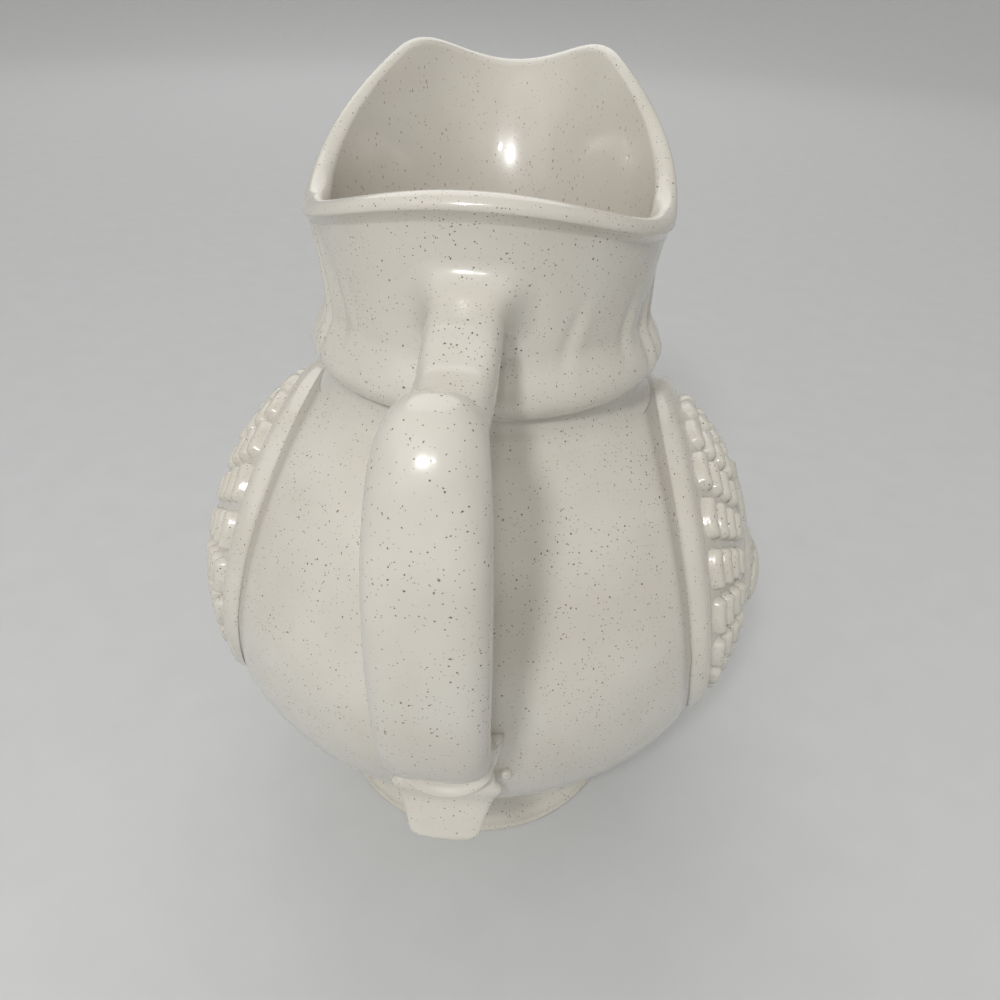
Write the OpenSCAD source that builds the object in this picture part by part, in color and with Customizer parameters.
// Glazed stoneware pitcher with a globe body, a flared foot, a wide pouring neck,
// a strap handle at the back and a round turkey relief on each side.
// Millimetres, Z up, foot on the table at z = 0, handle towards -Y, spout towards +Y.

/* [Body] */
// Greatest outside radius of the globe
body_radius = 88; // [80:1:96]
// Half height of the globe's oval profile
body_half_height = 74; // [70:1:80]
// Height of the globe's widest level above the table
body_centre_z = 92; // [88:1:96]
// Fullness of the globe's lower half, 2 for a plain oval
lower_fullness = 2.15; // [2:0.05:2.3]
// Wall thickness of the globe
body_wall = 5.5; // [4:0.5:7]

/* [Foot] */
// Radius of the flat floor under the globe
floor_radius = 26; // [20:1:32]
// Outside radius of the foot on the table
foot_radius = 51.5; // [48:0.5:56]
// Outside radius of the foot where it meets the globe
foot_neck_radius = 43.5; // [41:0.5:45]
// Width of the flat ring that rests on the table
foot_land = 5; // [4:0.5:6]
// Height of the upright edge of the foot
foot_edge = 3; // [2:0.5:4]

/* [Neck and spout] */
// Outside radius of the neck at its joint with the globe and at its waist
waist_radius = 46; // [42:0.5:50]
// Height of the waist above the joint with the globe
waist_height = 25; // [22:0.5:28]
// Height of the upright cove between the globe and the rolled collar
cove_height = 7.5; // [5:0.5:8.5]
// Height of the fullest level of the rolled collar above the joint
collar_height = 13; // [11:0.5:15]
// How far the rolled collar stands out from the waist
collar_roll = 4.8; // [3:0.2:6]
// Wall thickness of the neck
neck_wall = 4.5; // [4:0.5:5]
// Half width of the mouth at its side corners
mouth_half_width = 50; // [49:0.5:55]
// Distance of the back of the mouth from the mouth's middle
mouth_back = 54; // [51:0.5:57]
// Distance of the pouring lip from the mouth's middle
mouth_front = 62; // [55:0.5:70]
// Forward shift of the mouth's middle
mouth_shift = 4; // [2:0.5:6]
// Height of the rim's side corners above the joint
rim_corner_height = 47.5; // [44:0.5:51]
// Extra rim height at the middle of the back
rim_back_rise = 14.5; // [10:0.5:18]
// Extra rim height at the two humps beside the lip
rim_hump_rise = 41.5; // [34:0.5:46]
// Drop of the pouring lip between the humps
lip_drop = 14.6; // [10:0.2:20]
// Share by which the spout is pinched between the corners and the lip
spout_pinch = 0.08; // [0:0.01:0.14]
// Thickness of the rolled rim bead
rim_bead = 6.5; // [5:0.5:7]

/* [Handle] */
// Width of the strap
strap_width = 26; // [23:0.5:28]
// Depth of the strap's rounded outside, from its middle line
strap_crown = 7.5; // [6:0.25:8.5]
// Depth of the strap's flatter inside, from its middle line
strap_flat = 3.5; // [3:0.25:4.5]
// Width of the bridge between neck and strap
bridge_width = 18; // [16:0.5:20]
// Width of the flared root on the neck
root_width = 33; // [28:0.5:36]
// Extra height of the flared root, as a share of the strap's crown
root_flare = 0.75; // [0.4:0.05:1]
// Height of the handle's root on the neck above the joint
root_height = 38; // [35:0.5:40]
// Clear gap for fingers between the globe and the strap
finger_gap = 19.5; // [17:0.5:25]
// How much narrower the strap is at its lower end
lower_taper = 2.5; // [1:0.5:4]
// Width of the cuff under the strap's lower end
cuff_width = 30; // [27:0.5:31]
// Height of the cuff
cuff_height = 12; // [10:0.5:14]
// How far the cuff's ridge stands off the globe
cuff_rise = 8.5; // [7:0.25:9.5]
// Width of the tongue at its side tips
tongue_width = 30; // [26:0.5:33]
// Height of the tongue
tongue_height = 18; // [15:0.5:20]
// How far the tongue stands off the globe's side
tongue_rise = 8.5; // [7.5:0.25:10]
// Distance of the scroll eyes from the pitcher's middle plane
eye_side = 15.7; // [15.5:0.1:18]
// Radius of the small scroll eyes beside the tongue
scroll_radius = 1.7; // [1.5:0.1:2.4]

/* [Relief] */
// Height of plain globe between the framing bead and the neck's joint
frame_clearance = 3.3; // [2:0.1:6]
// Half height of the oval bead that frames the relief
frame_radius = 50; // [46:0.5:52]
// Width of the relief for each unit of its height
frame_stretch = 1.1; // [1:0.02:1.14]
// Width of the framing bead
frame_width = 5.5; // [4.5:0.25:6]
// Height of the framing bead above the globe
frame_rise = 1.9; // [1.6:0.1:2.6]
// Number of feathers in a full turn of the fan
feather_count = 20; // [18:1:26]
// Number of barb rows on each feather
barb_rows = 4; // [3:1:5]
// Length of the fan's feathers towards the middle
feather_length = 16.5; // [14:0.5:18]
// Gap between the fan and the framing bead
fan_gap = 0.8; // [0.6:0.1:1.5]
// Height of the barbs above the globe
barb_rise = 2.8; // [2:0.1:3.2]
// Share of the barb spacing that is clay and not gap
barb_fill = 0.84; // [0.7:0.02:0.9]
// Angle at the foot of the fan that carries no feathers
fan_opening = 56; // [40:2:80]
// Height of the bird's rounded body
bird_rise = 2.6; // [2:0.2:4]
// Thickness of the folded wing on the bird's body
wing_rise = 0.9; // [0.6:0.1:1.6]
// Thickness of the relief at the edge of the bird and the mound
relief_edge = 0.8; // [0.6:0.1:1.2]

/* [Hidden] */
// Thin layer of slip between two pieces with curved faces
slip = 0.3;
profile_steps = 40;
neck_columns = 72;
flare_steps = 10;
seat_steps = 4;
section_points = 16;
handle_steps = 30;
frame_steps = 60;
$fn = 72;

// Levels that follow from the globe's profile
floor_height = globe_low_z(floor_radius);
collar_z = body_centre_z + body_half_height * sqrt(1 - pow(waist_radius / body_radius, 2));
relief_z = collar_z - frame_clearance - frame_radius - frame_width / 2;
waist_z = collar_z + waist_height;
rim_corner_z = collar_z + rim_corner_height;
strap_reach = body_radius + finger_gap + strap_flat;

// The pitcher's axis stands forward of the middle of its box, which is the origin
axis_shift = (strap_reach + strap_crown - body_radius) / 2;
module placed() {
    translate([0, axis_shift, 0])
    children();
}

// Radius of the globe at height z, for the outside (inset 0) or a face inside it
function globe_r(z, inset = 0) =
    let (power = z < body_centre_z ? lower_fullness : 2)
    let (share = min(1, abs(z - body_centre_z) / (body_half_height - inset)))
    (body_radius - inset) * pow(1 - pow(share, power), 1 / power);

// Blending, smoothing and curves through stations
function mix(a, b, t) = a + (b - a) * t;
function smooth(t) = let (u = min(1, max(0, t))) u * u * (3 - 2 * u);
function unit(v) = v / norm(v);
function spline(p, i, t) =
    let (n = len(p) - 1, a = p[max(0, i - 1)], b = p[i], c = p[min(n, i + 1)], d = p[min(n, i + 2)])
    0.5 * (2 * b + (c - a) * t + (2 * a - 5 * b + 4 * c - d) * t * t + (3 * b - a - 3 * c + d) * t * t * t);
function along(p, s) =
    let (k = s * (len(p) - 1), i = min(len(p) - 2, floor(k)))
    spline(p, i, k - i);

// Skin over a list of equal closed rings, with ladder caps at both ends
module loft(rings) {
    n = len(rings[0]);
    m = len(rings);
    pts = [for (r = rings) each r];
    sides = [for (j = [0:m - 2]) for (i = [0:n - 1])
        let (a = j * n + i, b = j * n + (i + 1) % n)
        each [[a, b, b + n], [a, b + n, a + n]]];
    first = [for (i = [0:n / 2 - 2]) each [[i, n - 1 - i, i + 1], [i + 1, n - 1 - i, n - 2 - i]]];
    shift = (m - 1) * n;
    last = [for (f = first) [f[2] + shift, f[1] + shift, f[0] + shift]];
    polyhedron(points = pts, faces = concat(sides, first, last), convexity = 8);
}

// Globe: turned shell, open at the neck, with a flat floor outside for the foot
module body_shell() {
    floor_z = floor_height + body_wall;
    outer = [for (i = [0:profile_steps])
        let (z = mix(floor_height, collar_z, (1 - cos(180 * i / profile_steps)) / 2))
        [globe_r(z), z]];
    throat_r = collar_r(collar_z) - neck_wall;
    throat_share = throat_r / (body_radius - body_wall);
    throat_z = body_centre_z + (body_half_height - body_wall) * sqrt(1 - throat_share * throat_share);
    inner = [for (i = [profile_steps:-1:0])
        let (z = mix(floor_z, throat_z, (1 - cos(180 * i / profile_steps)) / 2))
        [globe_r(z, body_wall), z]];
    color("#d9d4c8")
    rotate_extrude()
    polygon(concat([[0, floor_height]], outer, [[throat_r, collar_z]], inner, [[0, floor_z]]));
}

// Height of the globe's underside at radius r
function globe_low_z(r) =
    body_centre_z - body_half_height * pow(1 - pow(r / body_radius, lower_fullness), 1 / lower_fullness);

// Foot: turned ring that flares to the table and cups the globe's underside
module foot_ring() {
    seat_in = foot_neck_radius - foot_land;
    top_z = globe_low_z(foot_neck_radius) - slip;
    outer = [for (i = [0:flare_steps])
        let (t = i / flare_steps)
        [mix(foot_radius, foot_neck_radius, sin(90 * t)), mix(foot_edge, top_z, t * t)]];
    seat = [for (i = [1:seat_steps])
        let (r = mix(foot_neck_radius, seat_in, i / seat_steps))
        [r, globe_low_z(r) - slip]];
    color("#d2c8ba")
    rotate_extrude()
    polygon(concat([[foot_radius, 0]], outer, seat, [[seat_in, foot_edge], [foot_radius - foot_land, 0]]));
}

// Mouth: plan of the rim and its height at angle t, counted from the back
corner_softness = 0.14;
hump_share = 0.85;
dip_share = 0.7;
function front_share(t) = (-cos(t) + sqrt(pow(cos(t), 2) + pow(corner_softness, 2))) / 2;
function rim_z(t) =
    let (c = front_share(t), b = max(0, cos(t)), dip = max(0, (c - dip_share) / (1 - dip_share)))
    rim_corner_z + rim_back_rise * b * b + rim_hump_rise * pow(c / hump_share, 0.75) - lip_drop * dip * dip;
function rim_point(t, inset) =
    let (reach = cos(t) > 0 ? mouth_back : mouth_front)
    let (pinch = cos(t) > 0 ? 0 : spout_pinch * pow(sin(2 * t), 2))
    [(mouth_half_width * (1 - pinch) - inset) * sin(t), mouth_shift - (reach - inset) * cos(t)];

// Radius of the cove, the rolled collar and the waist at height z
function collar_r(z) =
    let (h = z - collar_z, under = (collar_height - h) / (collar_height - cove_height))
    let (over = (h - collar_height) / (waist_height - collar_height))
    waist_radius + collar_roll * (over > 0 ? 1 - smooth(over) : sqrt(max(0, 1 - under * under)));

// One column of the neck wall at angle t: up the outside, over the rim bead and down the inside
neck_low = 12;
neck_high = 8;
bead_steps = 4;
function neck_outer(t, u) =
    let (w = [waist_radius * sin(t), -waist_radius * cos(t)], q = rim_point(t, 0), e = u * u)
    [mix(w[0], q[0], e), mix(w[1], q[1], e), mix(waist_z, rim_z(t) - rim_bead / 2, u)];
function neck_inner(t, u) =
    let (r = waist_radius - neck_wall, w = [r * sin(t), -r * cos(t)], q = rim_point(t, rim_bead), e = u * u)
    [mix(w[0], q[0], e), mix(w[1], q[1], e), mix(waist_z, rim_z(t) - rim_bead / 2, u)];
function neck_bead(t, a) =
    let (o = neck_outer(t, 1), i = neck_inner(t, 1), s = (1 - cos(a)) / 2)
    [mix(o[0], i[0], s), mix(o[1], i[1], s), o[2] + rim_bead / 2 * sin(a)];
function neck_column(t) = concat(
    [for (k = [0:neck_low - 1])
        let (z = mix(collar_z, waist_z, k / neck_low), r = collar_r(z))
        [r * sin(t), -r * cos(t), z]],
    [for (k = [0:neck_high]) neck_outer(t, k / neck_high)],
    [for (k = [1:bead_steps - 1]) neck_bead(t, 180 * k / bead_steps)],
    [for (k = [neck_high:-1:0]) neck_inner(t, k / neck_high)],
    [for (k = [neck_low - 1:-1:0])
        let (z = mix(collar_z, waist_z, k / neck_low), r = collar_r(z) - neck_wall)
        [r * sin(t), -r * cos(t), z]]);

// Neck: collar, waist, mouth and spout in one wall
module neck_spout() {
    columns = [for (i = [0:neck_columns - 1]) neck_column(360 * i / neck_columns)];
    n = len(columns[0]);
    pts = [for (c = columns) each c];
    quads = [for (j = [0:neck_columns - 1]) for (i = [0:n - 1])
        let (k = (j + 1) % neck_columns, a = j * n + i, b = j * n + (i + 1) % n)
        let (c = k * n + (i + 1) % n, d = k * n + i)
        each [[a, b, c], [a, c, d]]];
    color("#dcd7cb")
    polyhedron(points = pts, faces = quads, convexity = 10);
}

// Handle: middle line in the plane x = 0, from the neck over a dipped bridge and a crest down to the globe.
// Upper stations: share of the way from neck to strap, share of the root's height.
// Lower stations: share of the way from strap to globe, share of the globe's half height.
upper = [[-0.03, 1], [0.21, 0.87], [0.39, 0.72], [0.58, 0.69], [0.7, 0.755], [0.79, 0.875], [0.89, 0.82],
    [0.96, 0.61], [1, 0.18]];
lower = [[-0.01, 0.65], [0.08, 0.39], [0.25, 0.23], [0.52, 0.115], [0.88, 0.03], [1.25, -0.03]];
strap_line = concat(
    [for (k = upper) [-mix(waist_radius, strap_reach, k[0]), collar_z + root_height * k[1]]],
    [for (k = lower) [-mix(strap_reach, body_radius, k[0]), body_centre_z + body_half_height * k[1]]]);
strap_start = 0.03;
strap_end = 0.945;
function strap_at(s) = along(strap_line, s);
function strap_dir(s) = unit(strap_at(min(1, s + 0.01)) - strap_at(max(0, s - 0.01)));
function at_root(s) = 1 - smooth(s / 0.13);
function at_strap(s) = smooth((s - 0.25) / 0.4);
function at_crest(s) = smooth((s - 0.15) / 0.15) * (1 - smooth((s - 0.44) / 0.13));
function strap_half_width(s) =
    mix(bridge_width, strap_width, at_strap(s)) / 2 + (root_width - bridge_width) / 2 * at_root(s)
    - lower_taper / 2 * smooth((s - 0.88) / 0.07);
function strap_depth(s, outside) =
    outside ? strap_crown * mix(0.8, 1, at_strap(s)) * (1 + root_flare * at_root(s)) : strap_flat;
function rounded(a, power_x, power_y) =
    [sign(cos(a)) * pow(abs(cos(a)), power_x), sign(sin(a)) * pow(abs(sin(a)), power_y)];
function neck_face(z) =
    z < waist_z ? collar_r(z)
    : waist_radius + (mouth_back - mouth_shift - waist_radius)
        * pow((z - waist_z) / (rim_corner_z + rim_back_rise - rim_bead / 2 - waist_z), 2);
function strap_ring(s) =
    let (p = strap_at(s), d = strap_dir(s), out = [d[1], -d[0]])
    [for (k = [0:section_points - 1])
        let (a = 360 * (k + 0.5) / section_points, outside = a < 180)
        let (side_power = mix(0.55, 0.9, at_crest(s)), face_power = mix(0.8, 1.4, at_crest(s)))
        let (q = rounded(a, side_power, outside ? face_power : 0.85))
        let (x = q[0] * strap_half_width(s), h = q[1] * strap_depth(s, outside))
        [x, p[0] + out[0] * h, p[1] + out[1] * h]];
function on_neck(p) = [p[0], -sqrt(pow(neck_face(p[2]), 2) - p[0] * p[0]) - slip, p[2]];
function on_globe(p) = [p[0], -sqrt(pow(globe_r(p[2]), 2) - p[0] * p[0]) - slip, p[2]];

module handle_strap() {
    lead = 0.03;
    middle = [for (j = [0:handle_steps])
        strap_ring(mix(strap_start + lead, strap_end - lead / 2, j / handle_steps))];
    rings = concat(
        [[for (p = strap_ring(strap_start)) on_neck(p)]],
        middle,
        [[for (p = strap_ring(strap_end)) on_globe(p)]]);
    color("#e2ddd2")
    loft(rings);
}

// Level section of the cuff or the tongue: back and front are distances behind the globe's face at level_r
function end_ring(z, half_width, level_r, back, front) =
    [for (k = [0:section_points - 1])
        let (q = rounded(-360 * (k + 0.5) / section_points, 0.7, 0.8))
        let (y = -level_r - (back + front) / 2 - q[1] * (front - back) / 2, r = [q[0] * half_width, y, z])
        [r[0], min(y, on_globe(r)[1]), z]];

// Cuff: flared block under the strap's lower end, seated on the globe.
// Stations: share of its height, share of its width, share of its rise.
cuff_top = min([for (p = strap_ring(strap_end)) p[2]]) - slip;
cuff_stations = [[0, 1, 0.55], [0.3, 0.97, 0.5], [0.6, 0.9, 0.72], [0.82, 0.84, 1], [1, 0.8, 0.72]];
module handle_cuff() {
    steps = 10;
    rings = [for (j = [0:steps])
        let (k = along(cuff_stations, j / steps), z = cuff_top - cuff_height * k[0])
        end_ring(z, cuff_width / 2 * k[1], globe_r(z), -cuff_rise / 2, cuff_rise * k[2])];
    color("#d8cec0")
    loft(rings);
}

// Tongue: flared leaf below the cuff, seated on the globe above and free below.
// Stations: share of its height, share of its width, share of its rise in front and at the back.
tongue_top = cuff_top - cuff_height - slip;
tongue_stations = [[0, 0.86, 0.6, -0.2], [0.11, 1, 0.56, -0.1], [0.33, 0.86, 0.66, 0],
    [0.6, 0.74, 0.86, 0.28], [0.85, 0.64, 1, 0.48], [1, 0.48, 0.84, 0.58]];
module handle_tongue() {
    steps = 16;
    level_r = globe_r(tongue_top);
    rings = [for (j = [0:steps])
        let (k = along(tongue_stations, j / steps))
        end_ring(tongue_top - tongue_height * k[0], tongue_width / 2 * k[1], level_r,
            tongue_rise * k[3], tongue_rise * k[2])];
    color("#d6cbbd")
    loft(rings);
}

// Scroll eyes: a small ball beside the cuff on each side, above the tongue's tips
module scroll_eyes() {
    eye_z = tongue_top + scroll_radius + slip;
    eye_y = -sqrt(pow(globe_r(eye_z) + scroll_radius, 2) - eye_side * eye_side) - slip;
    color("#ddd6ca")
    for (side = [-1, 1])
        translate([side * eye_side, eye_y, eye_z])
        sphere(r = scroll_radius, $fn = 24);
}

// Relief: point at height rise over the globe, w towards the spout before stretching, v up from the middle
function on_side(side, w, v, rise) =
    let (u = w * frame_stretch, z = relief_z + v, r = globe_r(z), x = sqrt(r * r - u * u))
    let (around = pow(body_radius, 2), upright = pow(body_half_height, 2))
    let (n = unit([x / around, u / around, (z - body_centre_z) / upright]))
    let (p = [x, u, z] + n * rise)
    [side * p[0], p[1], p[2]];
function turned(side, list) = side > 0 ? list : [for (i = [len(list) - 1:-1:0]) list[i]];

// Framing bead: half round rope laid on the globe
module frame_bead(side) {
    ribs = 6;
    pts = [for (j = [0:frame_steps - 1])
        let (a = 360 * j / frame_steps)
        each [for (k = [0:ribs])
            let (b = 180 * k / ribs, r = frame_radius - frame_width / 2 * cos(b))
            on_side(side, r * cos(a), r * sin(a), slip + frame_rise * sin(b))]];
    n = ribs + 1;
    quads = [for (j = [0:frame_steps - 1]) for (i = [0:n - 1])
        let (k = (j + 1) % frame_steps, a = j * n + i, b = j * n + (i + 1) % n)
        let (c = k * n + (i + 1) % n, d = k * n + i)
        each [turned(side, [a, b, c]), turned(side, [a, c, d])]];
    color("#dcd6c9")
    polyhedron(points = pts, faces = quads, convexity = 4);
}

// Fan: rows of short barbs on every feather
module fan(side) {
    fan_outer = frame_radius - frame_width / 2 - fan_gap;
    fan_inner = fan_outer - feather_length;
    row = feather_length / barb_rows;
    pitch = 360 / feather_count;
    for (i = [0:feather_count - 1], j = [0:barb_rows - 1]) {
        a = -90 + pitch * (i + 0.5);
        if (abs(a + 90) > fan_opening / 2 && abs(a - 270) > fan_opening / 2)
            barb(side, a, pitch * barb_fill / 2, fan_inner + row * j, fan_inner + row * (j + barb_fill));
    }
}
module barb(side, a, half, r_in, r_out) {
    taper = 0.7;
    low = [[r_in, -half], [r_out, -half], [r_out, half], [r_in, half]];
    mid = (r_in + r_out) / 2;
    pts = [for (top = [0, 1]) for (c = low)
        let (r = mix(mid, c[0], top == 1 ? taper : 1), b = a + c[1] * (top == 1 ? taper : 1))
        on_side(side, r * cos(b), r * sin(b), slip + top * barb_rise)];
    faces = [[0, 1, 2], [0, 2, 3], [4, 6, 5], [4, 7, 6], [0, 5, 1], [0, 4, 5], [1, 6, 2], [1, 5, 6],
        [2, 7, 3], [2, 6, 7], [3, 4, 0], [3, 7, 4]];
    color("#e3dfd5")
    polyhedron(points = pts, faces = [for (f = faces) turned(side, f)]);
}

// Bird: rounded lumps laid on the globe, each an oval of half sizes size about centre
bird_centre = frame_radius * [-0.06, -0.14];
bird_size = frame_radius * [0.36, 0.3];
wing_centre = frame_radius * [-0.12, -0.12];
wing_size = frame_radius * [0.22, 0.16];
head_centre = frame_radius * [0.28, 0.34];
head_size = frame_radius * [0.12, 0.13];
head_lean = 0.8;
ground_centre = frame_radius * [0, -0.76];
ground_size = frame_radius * [0.32, 0.11];
function lump_rise(c, size, rise, u, v) =
    rise * sqrt(max(0, 1 - pow((u - c[0]) / size[0], 2) - pow((v - c[1]) / size[1], 2)));
function bird_face(u, v) = lump_rise(bird_centre, bird_size, bird_rise, u, v);
module lump(side, c, size, rise, on_bird, lean = 0, lean_to = 0) {
    around = 24;
    rounds = 5;
    spots = concat(
        [[0, 0]],
        [for (k = [1:rounds]) for (i = [0:around - 1]) [sin(90 * k / rounds), 360 * i / around]]);
    reach = [for (s = spots) s[0] * (1 + lean * pow(max(0, cos(s[1] - lean_to)), 2))];
    n = len(spots);
    plan = [for (i = [0:n - 1]) c + [size[0] * cos(spots[i][1]), size[1] * sin(spots[i][1])] * reach[i]];
    rest = [for (q = plan) slip + (on_bird ? relief_edge + bird_face(q[0], q[1]) + slip : 0)];
    under = [for (i = [0:n - 1]) on_side(side, plan[i][0], plan[i][1], rest[i])];
    over = [for (i = [0:n - 1])
        let (dome = rise * sqrt(max(0, 1 - pow(spots[i][0], 2))))
        on_side(side, plan[i][0], plan[i][1], rest[i] + relief_edge + dome)];
    disc = concat(
        [for (i = [0:around - 1]) [0, 1 + i, 1 + (i + 1) % around]],
        [for (k = [1:rounds - 1]) for (i = [0:around - 1])
            let (a = 1 + (k - 1) * around + i, b = 1 + (k - 1) * around + (i + 1) % around)
            each [[a, a + around, b + around], [a, b + around, b]]]);
    rim = [for (i = [0:around - 1])
        let (a = 1 + (rounds - 1) * around + i, b = 1 + (rounds - 1) * around + (i + 1) % around)
        each [[a, a + n, b + n], [a, b + n, b]]];
    top = [for (f = disc) [f[2] + n, f[1] + n, f[0] + n]];
    faces = [for (f = concat(disc, rim, top)) turned(side, f)];
    polyhedron(points = concat(under, over), faces = faces, convexity = 4);
}
module bird(side) {
    color("#dfd9cd") lump(side, bird_centre, bird_size, bird_rise, false);
}
module wing(side) {
    color("#e1dcd1") lump(side, wing_centre, wing_size, wing_rise, true);
}
module head(side) {
    color("#e3ddd0") lump(side, head_centre, head_size, bird_rise / 2, false, head_lean, 255);
}
module ground(side) {
    color("#dad4c7") lump(side, ground_centre, ground_size, bird_rise / 3, false);
}

placed() body_shell();
placed() foot_ring();
placed() neck_spout();
placed() handle_strap();
placed() handle_cuff();
placed() handle_tongue();
placed() scroll_eyes();
placed() frame_bead(-1);  // left_frame
placed() frame_bead(1);  // right_frame
placed() fan(-1);  // left_fan
placed() fan(1);  // right_fan
placed() bird(-1);  // left_bird
placed() bird(1);  // right_bird
placed() wing(-1);  // left_wing
placed() wing(1);  // right_wing
placed() head(-1);  // left_head
placed() head(1);  // right_head
placed() ground(-1);  // left_ground
placed() ground(1);  // right_ground
